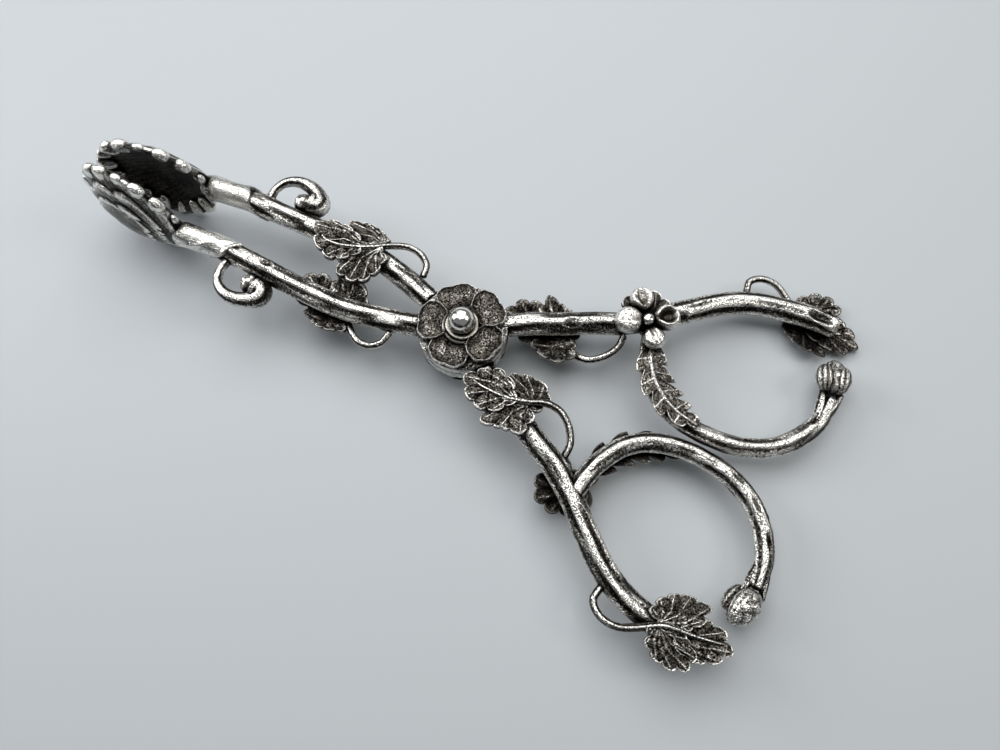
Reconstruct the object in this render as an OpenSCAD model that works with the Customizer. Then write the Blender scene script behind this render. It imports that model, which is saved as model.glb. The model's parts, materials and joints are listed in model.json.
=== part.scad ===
// Pair of cast silver sugar nippers shaped as two crossing vine branches.
// The two halves are the same casting, and the lower one is the upper one turned over.
// Plan positions are written for a half seen with its own side up:
// x runs from the jaws (minus) to the finger bows (plus), and the pivot is at 0, 0.

/* [Jaws] */
// Distance from the pivot to the middle of each jaw shell
jaw_reach = 67; // [62:0.5:72]
// Diameter of each jaw shell inside its petal tips
shell_d = 22; // [20:0.5:24]
// Depth of each jaw shell from its rim to the middle of its back
shell_depth = 5.2; // [4.4:0.1:6]
// Wall thickness of the jaw shells
shell_wall = 1; // [0.8:0.1:1.3]
// How far the petal tips stand out past the rim
petal_tip = 0.8; // [0.4:0.1:1.2]
// Half of the gap between the shells when the finger bows are together
jaw_half_gap = 2.6; // [2.4:0.1:3.6]
// Sideways set of both shells, towards the handle of the lower half
jaw_set = 2.1; // [0:0.1:2.4]
// Angle by which the upper shell turns in towards its tip
upper_toe_in = 1; // [0:0.5:4]
// Angle by which the lower shell turns in towards its tip
lower_toe_in = 14; // [8:0.5:15]

/* [Branches] */
// Diameter of the branch that makes the jaw arm and the handle
branch_d = 4.2; // [3.8:0.1:4.6]
// Diameter of the smooth stem that carries a jaw shell
stem_d = 4.6; // [4.2:0.1:5.2]
// Depth of the bark grooves as a share of the radius
bark = 0.05; // [0:0.01:0.08]
// Diameter of the thin wire used for leaf stalks and tendrils
wire_d = 1.3; // [1:0.1:1.6]

/* [Pivot] */
// Radius of the round plates where the branches cross
plate_r = 8; // [7.4:0.1:8.6]
// Thickness of each round plate
plate_t = 2.1; // [1.8:0.1:2.4]
// Diameter of the pivot pin
pin_d = 4; // [3:0.1:4.6]
// Running clearance between the pin and the bores, on the radius
pin_gap = 0.03; // [0.02:0.01:0.08]
// Gap between faces that slide on each other, or that are soldered
face_gap = 0.1; // [0.06:0.01:0.15]
// Radius of the five petalled rosettes
rosette_r = 8.2; // [7.6:0.1:8.8]
// Height of a rosette over its plate
rosette_h = 1.9; // [1.5:0.1:2.2]
// Diameter of the turned collars on the rosettes
collar_d = 7.6; // [6.6:0.1:8.4]
// Diameter of the polished balls at the ends of the pin
ball_d = 4.8; // [4:0.1:5.2]

/* [Finger bows] */
// Distance from the pivot to the middle of each finger bow
bow_reach = 47.5; // [45:0.5:50]
// Distance from the middle line to the end of each handle
handle_spread = 31; // [30:0.25:32]
// Diameter of the bow branch
bow_d = 3.4; // [3:0.1:3.8]
// Gap between the two finger bows when the nippers are closed
bow_gap = 0.6; // [0.4:0.1:1.2]

/* [Leaves and flowers] */
// Thickness of the leaf blades
leaf_t = 0.9; // [0.7:0.1:1.2]
// Length of the front leaf lobes against the ones drawn
front_leaf_size = 1; // [0.9:0.02:1.06]
// Length of the handle leaf lobes against the ones drawn
handle_leaf_size = 1; // [0.9:0.02:1.04]
// Length of the end leaf lobes against the ones drawn
end_leaf_size = 1; // [0.9:0.02:1.04]
// Width of the pinnate leaf along the start of a bow
bow_leaf_w = 6.6; // [5.6:0.2:7.4]
// Diameter of the small bud on the front tendril
bud_d = 3.3; // [2.8:0.1:3.4]
// Diameter of the large bud at the end of a bow
bow_bud_d = 5.2; // [4.6:0.1:5.6]
// Diameter of the bead in the middle of a blossom
bead_d = 1.8; // [1.4:0.1:2]
// Height of the blossom cups over the middle plane of a half
blossom_top = 6.23; // [6:0.01:6.4]

/* [Opening] */
// Angle that the upper half is opened by in this view
open_angle = 0; // [0:1:60]

/* [Hidden] */

branch_r = branch_d / 2;
stem_r = stem_d / 2;
bow_r = bow_d / 2;
wire_r = wire_d / 2;
seat = branch_r + face_gap;
plate_top = face_gap / 2 + plate_t;
rosette_seat = plate_top + face_gap;
rosette_eye = 0.45;
collar_seat = rosette_seat + rosette_eye + face_gap;
collar_h = 1.1;
ball_sink = 1;
ball_z = collar_seat + collar_h + ball_d / 2 - ball_sink;
round_faces = 24;

// How the nippers lie on a table: on the shell rims, a blossom and an end leaf
lie_tilt = 3.41;
lie_roll = -1.66;
lie_shift = [6.78, -0.55, 7.8];

// Plan points as drawn, moved when a reach or the bow gap changes
front_scale = jaw_reach / 67;
back_scale = bow_reach / 47.5;
side_scale = handle_spread / 31;
bow_shift = bow_gap / 2 + bow_r - 2 * side_scale;
function plan(p) = p[0] < 0
    ? [p[0] * front_scale, p[1], p[2], p[3]]
    : [p[0] * back_scale, p[1] * side_scale + bow_shift * min(p[0] / 30, 1), p[2], p[3]];
function leaf_plan(p) = let (q = plan([p[0], -p[1], p[2], p[3]])) [q[0], -q[1], q[2], q[3]];
function last(list) = list[len(list) - 1];

// Small vector helpers
function unit(v) = v / norm(v);
function xyz(p) = [p[0], p[1], p[2]];
function flat(lists) = [for (l = lists) each l];

// Smooth curve through points of position and radius, with n steps between two points
function between(a, b, c, d, t) =
    0.5 * (2 * b + (c - a) * t + (2 * a - 5 * b + 4 * c - d) * t * t
    + (3 * b - a - 3 * c + d) * t * t * t);
function curve(p, n) = [
    for (i = [0:len(p) - 2]) for (j = [0:n - 1])
        between(p[max(i - 1, 0)], p[i], p[i + 1], p[min(i + 2, len(p) - 1)], j / n),
    p[len(p) - 1]
];

// Closed solid through a row of rings that have the same even number of points
module loft(rings) {
    n = len(rings);
    m = len(rings[0]);
    sides = [for (i = [0:n - 2]) for (k = [0:m - 1])
        let (a = i * m + k, b = i * m + (k + 1) % m)
        each [[a, a + m, b], [b, a + m, b + m]]];
    ends = [for (side = [0, 1]) for (k = [0:m / 2 - 2])
        let (e = side * (n - 1) * m, a = e + k, b = e + k + 1, c = e + m - 1 - k, d = e + m - 2 - k)
        each side == 0 ? [[a, b, c], [b, d, c]] : [[a, c, b], [b, c, d]]];
    polyhedron(flat(rings), concat(sides, ends));
}

// Round rod along points of position and radius, with shallow grooves along it
function ring_at(p, i, sides, groove) =
    let (
        n = len(p),
        along = unit(xyz(p[min(i + 1, n - 1)]) - xyz(p[max(i - 1, 0)])),
        side = unit(cross([0, 0, 1], along)),
        up = cross(along, side)
    )
    [for (k = [0:sides - 1])
        let (a = 360 * k / sides, r = p[i][3] * (1 - groove * (k % 2)))
        xyz(p[i]) + r * (cos(a) * side + sin(a) * up)];
module rod(p, sides = 8, groove = 0) {
    loft([for (i = [0:len(p) - 1]) ring_at(p, i, sides, groove)]);
}

// Closed solid between two surfaces given on spokes and rings around a middle point
module polar_solid(spokes, rings, upper, lower) {
    count = spokes * rings + 1;
    points = [
        for (side = [0, 1]) each [
            side == 0 ? upper(0, 0) : lower(0, 0),
            for (j = [1:rings]) for (k = [0:spokes - 1])
                side == 0 ? upper(360 * k / spokes, j / rings) : lower(360 * k / spokes, j / rings)
        ]
    ];
    top = [for (k = [0:spokes - 1]) let (q = (k + 1) % spokes) each [
        [0, 1 + q, 1 + k],
        for (j = [0:rings - 2]) let (a = 1 + j * spokes) each [
            [a + k, a + q, a + spokes + k], [a + q, a + spokes + q, a + spokes + k]]
    ]];
    bottom = [for (f = top) [f[0] + count, f[2] + count, f[1] + count]];
    edge = [for (k = [0:spokes - 1])
        let (q = (k + 1) % spokes, a = 1 + (rings - 1) * spokes)
        each [[a + k, a + q, a + count + k], [a + q, a + count + q, a + count + k]]];
    polyhedron(points, concat(top, bottom, edge));
}

// The half is drawn twice: its flower side up, or its leaf side up
module flower_side(half) {
    rotate([half == "upper" ? 0 : 180, 0, 0]) children();
}
module leaf_side(half) {
    rotate([half == "upper" ? 180 : 0, 0, 0]) children();
}
module placed(half) {
    translate(lie_shift) rotate([lie_roll, lie_tilt, 0])
        rotate([0, 0, half == "upper" ? open_angle : 0]) children();
}

// Worn flat where a piece rests on the table, which is the plane z = 0
module on_table() {
    difference() {
        children();
        translate([-jaw_reach * 2, -jaw_reach, -shell_d]) cube([jaw_reach * 4, jaw_reach * 2, shell_d]);
    }
}

// Branch: jaw arm, handle and the round plate between them
jaw_arm = [[-48.1, -5.6], [-40, -5.7], [-30, -6], [-22, -5.8], [-15, -4.6], [-10, -3.2], [-5.6, -1.8]];
handle = [[5.4, 3.8], [10, 6.8], [15, 9.4], [20, 12.1], [25, 14.6], [30, 18.2], [35, 22.5],
    [40, 26.5], [45, 29], [50, 30.2], [55, 30.9], [60.2, 31]];
function branch_path(p) = [for (q = p) plan([q[0], q[1], 0, branch_r])];

module arm(half) {
    swept = plate_r + 0.3;
    color("silver") placed(half) flower_side(half) difference() {
        union() {
            rod(curve(branch_path(jaw_arm), 2), 12, bark);
            rod(curve(branch_path(handle), 2), 12, bark);
            translate([0, 0, face_gap / 2]) cylinder(r = plate_r, h = plate_t, $fn = round_faces);
        }
        translate([0, 0, face_gap / 2 - 2 * branch_d])
            cylinder(r = swept, h = 2 * branch_d, $fn = round_faces);
        translate([0, 0, -branch_d])
            cylinder(d = pin_d + 2 * pin_gap, h = 2 * branch_d, $fn = round_faces);
    }
}

// Jaw shell: a scalloped dish standing on edge, with the stem that carries it
tips = 24;
function tip_shape(a) = pow(abs(cos(tips * a / 2)), 0.7);
function shell_r(a) = shell_d / 2 + petal_tip * tip_shape(a);
function shell_heel(a) = 1.5 * pow(max(0, -cos(a)), 6);
function inside_depth(a, f) = (shell_depth - shell_wall) * (1 - f * f);
function outside_depth(a, f) = shell_depth - (shell_depth - shell_wall) * f * f
    + f * shell_heel(a) + 0.3 * f * f * tip_shape(a);

module jaw_shell(half) {
    toe_in = half == "upper" ? upper_toe_in : lower_toe_in;
    centre = [-jaw_reach, -jaw_half_gap + (half == "upper" ? -jaw_set : jaw_set), 0];
    tipward = [-cos(toe_in), sin(toe_in), 0];
    opening = [sin(toe_in), cos(toe_in), 0];
    function shell_point(a, f, depth) =
        centre + f * shell_r(a) * (cos(a) * tipward + sin(a) * [0, 0, 1]) - depth * opening;
    arm_end = [jaw_arm[0][0] * front_scale - 1.8 * face_gap, jaw_arm[0][1], 0];
    heel = centre - shell_d / 2 * tipward - (stem_r * 0.63) * opening;
    stem = [
        [each arm_end, stem_r * 0.94],
        [each arm_end - [1.2, 0, 0], stem_r * 0.97],
        [each (arm_end + heel) / 2, stem_r],
        [each heel, stem_r],
        [each heel + tipward, stem_r * 0.7]
    ];
    color("silver") on_table() placed(half) flower_side(half) union() {
        polar_solid(72, 4,
            function (a, f) shell_point(a, f, inside_depth(a, f)),
            function (a, f) shell_point(a, f, outside_depth(a, f)));
        rod(curve(stem, 2), 12, bark);
    }
}

// Tendril that loops out of the jaw arm and opens as a bell round a bud
tendril_path = [[-45.7, 7.85, 0.62], [-45.7, 9.9, 0.6], [-44.7, 11.9, 0.68], [-42.5, 13.1, 0.84],
    [-40, 13.1, 1], [-37.8, 12.2, 1.2], [-36.5, 10.9, 1.45], [-36.8, 9.9, 1.65], [-37.8, 9.75, 1.8]];
module tendril(half) {
    path = [for (q = tendril_path) leaf_plan([q[0], q[1], 0, q[2] * wire_d / 1.3])];
    color("silver") placed(half) leaf_side(half) rod(curve(path, 3), 8);
}
module tendril_bud(half) {
    mouth = leaf_plan(last(tendril_path));
    color("gainsboro") placed(half) leaf_side(half)
        translate([mouth[0] - 1.3 * face_gap, mouth[1], 0]) rotate([0, 90, 188]) difference() {
            translate([0, 0, bud_d * 0.38]) sphere(d = bud_d, $fn = round_faces);
            translate([0, 0, -bud_d]) cylinder(d = 2 * bud_d, h = bud_d, $fn = round_faces);
        }
}

// Lobed vine leaf over a branch: each lobe is its angle, its length and its half angle.
// Height falls away with the distance from the branch, so that the lobes hang beside it.
// The middle of the leaf may lie beside the middle of the branch by some millimetres.
leaf_droop = 0.042;
function lobe_reach(lobes, base, a) = base + max([for (l = lobes)
    let (d = abs((a - l[0] + 900) % 360 - 180))
    d < l[2] ? (l[1] - base) * cos(90 * d / l[2]) : 0]);
module vine_leaf(centre, lobes, size, base, branch_angle, beside) {
    function blade_point(a, f, z) =
        let (
            r = f * size * lobe_reach(lobes, base, a),
            d = r * sin(a - branch_angle) + beside
        )
        [centre[0] + r * cos(a), centre[1] + r * sin(a), z - leaf_droop * d * d];
    polar_solid(40, 3,
        function (a, f) blade_point(a, f, seat + leaf_t * (1 - 0.5 * pow(sin(180 * f), 2))),
        function (a, f) blade_point(a, f, seat));
}
module stalk(points) {
    rod(curve([for (q = points) leaf_plan([q[0], q[1], q[2], wire_r])], 2), 8);
}
stalk_top = seat + leaf_t;

front_leaf_centre = [-25.6, 4.4];
front_leaf_lobes = [[171, 8.3, 22], [200, 6.8, 18], [232, 5.2, 18], [268, 5.4, 22], [312, 6.6, 24],
    [347, 7.1, 22], [13, 7.2, 20], [45, 7.6, 24], [85, 6.2, 22], [119, 5.9, 20], [147, 5.8, 16]];
front_stalk = [[-25.6, 4.6, stalk_top], [-21.4, 6.4, stalk_top - 0.3], [-18.6, 8.6, 2.2],
    [-16.4, 9.8, 1.4], [-14, 9.8, 0.7], [-12.2, 8.5, 0.2], [-11.8, 6.75, 0]];
module front_leaf(half) {
    c = leaf_plan([front_leaf_centre[0], front_leaf_centre[1], 0, 0]);
    color("silver") placed(half) leaf_side(half) union() {
        vine_leaf(c, front_leaf_lobes, front_leaf_size, 4.2, 2, -1.55);
        stalk(front_stalk);
    }
}

handle_leaf_centre = [12.8, -8.4];
handle_leaf_lobes = [[176, 8.2, 22], [142, 6.1, 20], [105, 5, 20], [69, 6.1, 20], [42, 7.8, 18],
    [18, 7.4, 18], [-8, 6.2, 18], [-37, 6.8, 22], [-70, 5.2, 20], [-108, 5.8, 22], [-135, 5.4, 18],
    [203, 6.6, 18]];
handle_stalk = [[12.8, -8.3, stalk_top], [16.3, -7.4, stalk_top], [19.3, -6, 2.7],
    [22.2, -6.1, 2], [24.6, -7.7, 1.1], [26, -10, 0.4], [26.1, -12.3, 0]];
module handle_leaf(half) {
    c = leaf_plan([handle_leaf_centre[0], handle_leaf_centre[1], 0, 0]);
    color("silver") placed(half) leaf_side(half) union() {
        vine_leaf(c, handle_leaf_lobes, handle_leaf_size, 4.2, -29, -0.1);
        stalk(handle_stalk);
    }
}

end_leaf_centre = [56, -30.1];
end_leaf_lobes = [[7, 7.2, 20], [-16, 6.4, 18], [-45, 5.6, 18], [-68, 5.8, 16], [-92, 6, 16],
    [-116, 6.2, 16], [-140, 6.2, 18], [167, 6.8, 20], [143, 7, 16], [120, 6.6, 16], [98, 6.2, 16],
    [76, 6.2, 16], [46, 5.4, 18]];
end_stalk = [[55.4, -30, stalk_top], [51.4, -30.6, stalk_top], [48.4, -32.2, 2],
    [45.4, -33.6, 1], [42.4, -33.4, 0.4], [40.4, -31.6, 0], [40.6, -29.6, 0]];
upper_end_shift = [2, -1.1, 0];
module end_leaf(half) {
    c = leaf_plan([end_leaf_centre[0], end_leaf_centre[1], 0, 0]);
    shift = half == "upper" ? upper_end_shift : [0, 0, 0];
    color("silver") on_table() placed(half) leaf_side(half) translate(shift) union() {
        vine_leaf(c, end_leaf_lobes, end_leaf_size, 4.4, -4, 0.8);
        stalk(end_stalk);
    }
}

// Finger bow: a thinner branch that leaves the handle and swings round to the end leaf
bow_path = [[30.2, 17], [30.8, 13.6], [31.9, 10.3], [34.4, 6.3], [38, 3.6], [42.6, 2.2], [47.5, 2],
    [52.5, 2.9], [57, 5.1], [60.4, 8.6], [62.6, 13], [63.3, 18.2]];
module finger_bow(half) {
    path = [for (q = bow_path) plan([q[0], q[1], 0, bow_r])];
    a = plan([25, 14.6, 0, 0]);
    b = plan([35, 22.5, 0, 0]);
    color("silver") placed(half) flower_side(half) difference() {
        rod(curve(path, 2), 12, bark);
        translate(xyz(a)) rotate([0, 90, atan2(b[1] - a[1], b[0] - a[0])]) translate([0, 0, -5])
            cylinder(r = seat + 0.3, h = norm(xyz(b) - xyz(a)) + 10, $fn = round_faces);
    }
}

// Large bud in the forked end of a bow
module bow_bud(half) {
    foot = plan(last(bow_path));
    l = 6.8;
    r = bow_bud_d / 2;
    color("gainsboro") placed(half) flower_side(half)
        translate([foot[0] - 0.1, foot[1] + face_gap + bow_r * 0.25, 0]) rotate([-90, 0, 12])
        rotate_extrude($fn = round_faces) polygon([[0, 0], [bow_r * 0.9, 0], [r * 0.8, l * 0.16],
            [r, l * 0.4], [r * 0.9, l * 0.66], [r * 0.6, l * 0.88], [r * 0.2, l], [0, l]]);
}

// Pinnate leaf with toothed edges that lies along the first third of a bow
bow_leaf_path = [[31.1, 12], [32.4, 9.2], [34.4, 6.4], [37, 4.3], [40, 2.9], [43.2, 2.3]];
module bow_leaf(half) {
    line = curve([for (q = bow_leaf_path) plan([q[0], q[1], bow_r + face_gap, 1])], 3);
    n = len(line) - 1;
    function width(i) = bow_leaf_w / 2 * pow(sin(180 * min(0.96, 0.12 + i / n)), 0.6)
        * (i % 3 == 0 ? 1.1 : 0.85);
    rings = [for (i = [0:n])
        let (
            along = unit(xyz(line[min(i + 1, n)]) - xyz(line[max(i - 1, 0)])),
            side = cross([0, 0, 1], along),
            w = width(i),
            p = xyz(line[i])
        )
        [for (s = [[1, 0.6], [0.5, 0.7], [0, 1.1], [-0.5, 0.7], [-1, 0.6], [-1, 0], [-0.5, 0], [0, 0],
            [0.5, 0], [1, 0]]) p + side * w * s[0] + [0, 0, s[1] * leaf_t - 0.07 * pow(w * s[0], 2)]]];
    color("silver") placed(half) flower_side(half) loft(rings);
}

// Blossom over the branching of the bow: cupped petals on a toothed leafy base
blossom_centre = [28.4, 16.6];
bead_place = [28.8, 14.9];
blossom_h = blossom_top - stalk_top + 0.4;
bead_rise = 0.7 * (blossom_top - stalk_top);
cup_places = [[25.8, 13.5, 2.3], [31.5, 17, 2.2], [26.2, 18.4, 2.1], [31, 12.7, 1.8]];
blossom_lobes = [[60, 5, 20], [95, 5.6, 18], [130, 6, 20], [168, 5.6, 20], [205, 5.2, 20],
    [245, 4.6, 20], [290, 3.6, 20], [25, 5, 20]];
module blossom(half) {
    c = plan([blossom_centre[0], blossom_centre[1], 0, 0]);
    color("silver") placed(half) flower_side(half) union() {
        vine_leaf([c[0], c[1]], blossom_lobes, 1, 3.4, 37, -0.4);
        for (q = cup_places) {
            p = plan([q[0], q[1], 0, 0]);
            r = q[2];
            translate([p[0], p[1], stalk_top - 0.4]) rotate_extrude($fn = round_faces)
                polygon([[0, 0], [r * 0.36, 0], [r * 0.6, r * 0.4], [r * 0.92, r * 0.7], [r, r * 1.2],
                    [r * 0.88, blossom_h], [r * 0.7, r * 0.95], [r * 0.3, r * 0.6], [0, r * 0.55]]);
        }
    }
}
module blossom_bead(half) {
    c = plan([bead_place[0], bead_place[1], 0, 0]);
    color("gainsboro") placed(half) flower_side(half)
        translate([c[0], c[1], stalk_top + face_gap]) union() {
            cylinder(d = bead_d * 0.5, h = bead_rise, $fn = round_faces);
            translate([0, 0, bead_rise]) sphere(d = bead_d, $fn = round_faces);
        }
}

// Rosette of five overlapping petals on the round plate
petals = 5;
module rosette(half) {
    hole = pin_d / 2 + 0.6;
    function petal(a) = pow(abs(cos(petals * a / 2)), 0.45);
    function petal_r(a, f) = hole + f * (rosette_r * (0.84 + 0.16 * petal(a)) - hole);
    function rise(a, f) = rosette_eye
        + (rosette_h - rosette_eye) * sin(155 * max(0, f - 0.25) / 0.75) * (0.55 + 0.45 * petal(a))
        + 0.25 * f * (1 + sin(petals * a));
    spokes = 60;
    rows = [0, 0.25, 0.5, 0.8, 1];
    rings = [for (k = [0:spokes - 1]) let (a = 360 * k / spokes, u = [cos(a), sin(a), 0])
        [for (f = rows) u * petal_r(a, f) + [0, 0, rosette_seat + rise(a, f)],
        u * petal_r(a, 1) + [0, 0, rosette_seat], u * petal_r(a, 0) + [0, 0, rosette_seat]]];
    m = len(rings[0]);
    faces = [for (k = [0:spokes - 1]) for (j = [0:m - 1])
        let (a = k * m + j, b = k * m + (j + 1) % m, c = (k + 1) % spokes * m)
        each [[a, c + j, b], [b, c + j, c + (j + 1) % m]]];
    color("silver") placed(half) flower_side(half) polyhedron(flat(rings), faces);
}

// Pivot: the pin with its lower ball, two turned collars and the upper ball
module ball_end() {
    rotate_extrude($fn = round_faces) intersection() {
        translate([0, ball_z]) circle(d = ball_d, $fn = round_faces);
        translate([0, collar_seat + collar_h + face_gap]) square([ball_d, 2 * ball_d]);
    }
}
module pivot_pin() {
    reach = collar_seat + collar_h + face_gap;
    color("gainsboro") placed("lower") union() {
        translate([0, 0, -reach - 0.2]) cylinder(d = pin_d, h = 2 * reach + 0.2, $fn = round_faces);
        rotate([180, 0, 0]) ball_end();
    }
}
module collar(side) {
    bore = pin_d / 2 + pin_gap;
    r = collar_d / 2;
    color("gainsboro") placed("lower") flower_side(side) translate([0, 0, collar_seat])
        rotate_extrude($fn = round_faces) polygon([[bore, 0], [r * 0.8, 0], [r, collar_h * 0.3],
            [r * 0.96, collar_h * 0.6], [r * 0.8, collar_h * 0.75], [r * 0.74, collar_h],
            [bore, collar_h]]);
}
module pivot_finial() {
    color("gainsboro") placed("lower") ball_end();
}

arm("upper");  // upper_arm
jaw_shell("upper");  // upper_jaw_shell
tendril("upper");  // upper_tendril
tendril_bud("upper");  // upper_tendril_bud
front_leaf("upper");  // upper_front_leaf
handle_leaf("upper");  // upper_handle_leaf
end_leaf("upper");  // upper_end_leaf
finger_bow("upper");  // upper_finger_bow
bow_bud("upper");  // upper_bow_bud
bow_leaf("upper");  // upper_bow_leaf
blossom("upper");  // upper_blossom
blossom_bead("upper");  // upper_blossom_bead
rosette("upper");  // upper_rosette
arm("lower");  // lower_arm
jaw_shell("lower");  // lower_jaw_shell
tendril("lower");  // lower_tendril
tendril_bud("lower");  // lower_tendril_bud
front_leaf("lower");  // lower_front_leaf
handle_leaf("lower");  // lower_handle_leaf
end_leaf("lower");  // lower_end_leaf
finger_bow("lower");  // lower_finger_bow
bow_bud("lower");  // lower_bow_bud
bow_leaf("lower");  // lower_bow_leaf
blossom("lower");  // lower_blossom
blossom_bead("lower");  // lower_blossom_bead
rosette("lower");  // lower_rosette
pivot_pin();
collar("upper");  // upper_collar
collar("lower");  // lower_collar
pivot_finial();
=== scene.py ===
# %% [markdown]
# # A pair of silver sugar nippers
# The nippers are two castings that cross like scissors. Each one is a vine branch with a shell
# jaw at the front and a finger bow at the back. The second casting is the first one turned over,
# so every piece here is worked out once, as a surface in numpy, and then used for both halves.
# The frame gives the solids, the hinge and the place on the table. This script adds the bark, the
# leaves blade by blade, and the look of darkened silver.

# %% Load the frame
import json
import math

import bpy
from mathutils import Matrix
import numpy as np


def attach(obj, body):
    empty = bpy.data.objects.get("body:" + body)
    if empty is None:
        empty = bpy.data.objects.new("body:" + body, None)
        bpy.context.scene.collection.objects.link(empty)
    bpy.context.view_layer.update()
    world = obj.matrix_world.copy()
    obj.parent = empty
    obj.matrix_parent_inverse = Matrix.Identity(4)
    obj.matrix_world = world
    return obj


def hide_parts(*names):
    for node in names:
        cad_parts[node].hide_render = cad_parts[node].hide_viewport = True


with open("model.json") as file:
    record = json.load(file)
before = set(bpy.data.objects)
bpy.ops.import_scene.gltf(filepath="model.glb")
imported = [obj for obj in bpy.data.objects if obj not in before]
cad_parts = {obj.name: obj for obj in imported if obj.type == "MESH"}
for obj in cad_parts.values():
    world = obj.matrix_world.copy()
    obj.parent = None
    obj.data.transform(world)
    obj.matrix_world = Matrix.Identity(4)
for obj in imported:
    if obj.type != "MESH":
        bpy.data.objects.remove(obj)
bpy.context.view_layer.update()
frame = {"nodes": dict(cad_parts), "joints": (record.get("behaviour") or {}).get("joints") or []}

print("pieces in the frame:", len(frame["nodes"]))

# %% [markdown]
# ## The working plane
# It is easier to draw a half lying flat, with the pivot at 0, 0 and its own side up, in
# millimetres. Drawing each piece where it lies would mean tilted numbers everywhere. The hinge of
# the frame says where the plane really is, because the nippers rest on their shell rims, so one
# function can carry any drawn point to its place, for either half.

# %% From the drawing plane to the table
MM = 0.001
hinge = frame["joints"][0]
pivot = np.array(hinge["pos_m"])
hinge_axis = np.array(hinge["axis"]) / np.linalg.norm(hinge["axis"])
roll = -math.asin(hinge_axis[1])
tilt = math.atan2(hinge_axis[0], hinge_axis[2])
turn_x = np.array([[1, 0, 0], [0, math.cos(roll), -math.sin(roll)], [0, math.sin(roll), math.cos(roll)]])
turn_y = np.array([[math.cos(tilt), 0, math.sin(tilt)], [0, 1, 0], [-math.sin(tilt), 0, math.cos(tilt)]])
LIE = turn_y @ turn_x


def placed(points, half, side):
    """Drawn points to their place: the lower half is turned over, and leaf sides face the other way."""
    over = (half == "upper") == (side == "leaf")
    flip = np.array([1, -1, -1]) if over else np.array([1, 1, 1])
    return (points * flip) @ LIE.T * MM + pivot


print("the nippers lie tilted by", round(math.degrees(tilt), 2), "and rolled by",
      round(math.degrees(roll), 2), "degrees")

# %% [markdown]
# ## The camera
# The photograph looks steeply down on the nippers from the near right. The angles, distance and
# focal length below were fitted to both halves, since they are the same casting. The numbers are
# in the drawing plane, so the camera keeps its place against the nippers if they lie differently.

# %% Camera
PHOTO_W = 1000
SENSOR = 36.0
CAM_AZIMUTH, CAM_ELEVATION = math.radians(27.0), math.radians(71.33)
CAM_DISTANCE, CAM_FOCAL_PX = 137.79, 780.0
CAM_TARGET = np.array([9.65, -4.31, 0.0])
back = np.array([math.sin(CAM_AZIMUTH) * math.cos(CAM_ELEVATION),
                 -math.cos(CAM_AZIMUTH) * math.cos(CAM_ELEVATION), math.sin(CAM_ELEVATION)])
right = np.array([math.cos(CAM_AZIMUTH), math.sin(CAM_AZIMUTH), 0.0])
cam_turn = LIE @ np.stack([right, np.cross(back, right), back], axis=1)
cam_place = placed(CAM_TARGET + CAM_DISTANCE * back, "upper", "flower")
camera_data = bpy.data.cameras.new("camera")
camera_data.sensor_width = SENSOR
camera_data.lens = CAM_FOCAL_PX / PHOTO_W * SENSOR
camera_data.clip_start = 5 * MM
camera = bpy.data.objects.new("camera", camera_data)
pose = np.eye(4)
pose[:3, :3] = cam_turn
pose[:3, 3] = cam_place
camera.matrix_world = Matrix(pose.tolist())
bpy.context.scene.collection.objects.link(camera)
bpy.context.scene.camera = camera
print("camera at", np.round(cam_place, 4), "lens", round(camera_data.lens, 2))

# %% [markdown]
# ## Colours and nodes
# A material could be clicked together in the shader editor. Written as code it can be made four
# times with other values. Colours are written as they look on a screen and turned to linear light
# once. One small function adds any node with its settings and links.

# %% Colour and node helpers
def linear(hex_code):
    """Screen colour to linear light: each channel follows the sRGB curve."""
    c = np.array([int(hex_code[i:i + 2], 16) for i in (0, 2, 4)]) / 255
    return (*np.where(c <= 0.04045, c / 12.92, ((c + 0.055) / 1.055) ** 2.4).tolist(), 1.0)


def add_node(tree, kind, settings=None, inputs=None, output=0):
    """Adds one node and returns its output socket. An input is a plain value, or the output
    socket of another node to link from."""
    node = tree.nodes.new(kind)
    for key, value in (settings or {}).items():
        setattr(node, key, value)
    for key, value in (inputs or {}).items():
        if isinstance(value, bpy.types.NodeSocket):
            tree.links.new(value, node.inputs[key])
        else:
            node.inputs[key].default_value = value
    return node.outputs[output]


print("white in linear light:", linear("ffffff"))

# %% [markdown]
# ## Darkened silver
# Sterling silver is cast, chased with punches, blackened with sulphur and then rubbed bright again. So
# its colour follows the relief: rims and ridges are almost white metal, open faces are warm grey, and
# hollows stay nearly black. It could be painted by hand, but every surface function knows its own
# ridges. Each one writes a number called worn, from 0 in a hollow to 1 on a ridge, and the material
# reads it. On top of that the material darkens inner corners and the gaps between parts by their ambient
# occlusion: partly the patina in the hollows, partly painted shade. Fine marks of the punches are too
# small for the mesh, so they are a bump pattern.

# %% Silver materials
CLOUD_MM = 2.6    # patches where the black was rubbed off unevenly
CORNER_PATINA_AND_SHADE_MM = 1.6   # how far the patina and the painted shade reach out of an inner corner
BRUSH_MM = 0.22   # lines left by the polishing brush, drawn wider than real ones so that they show
PUNCH_MM = 0.16   # height of the bump


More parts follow.
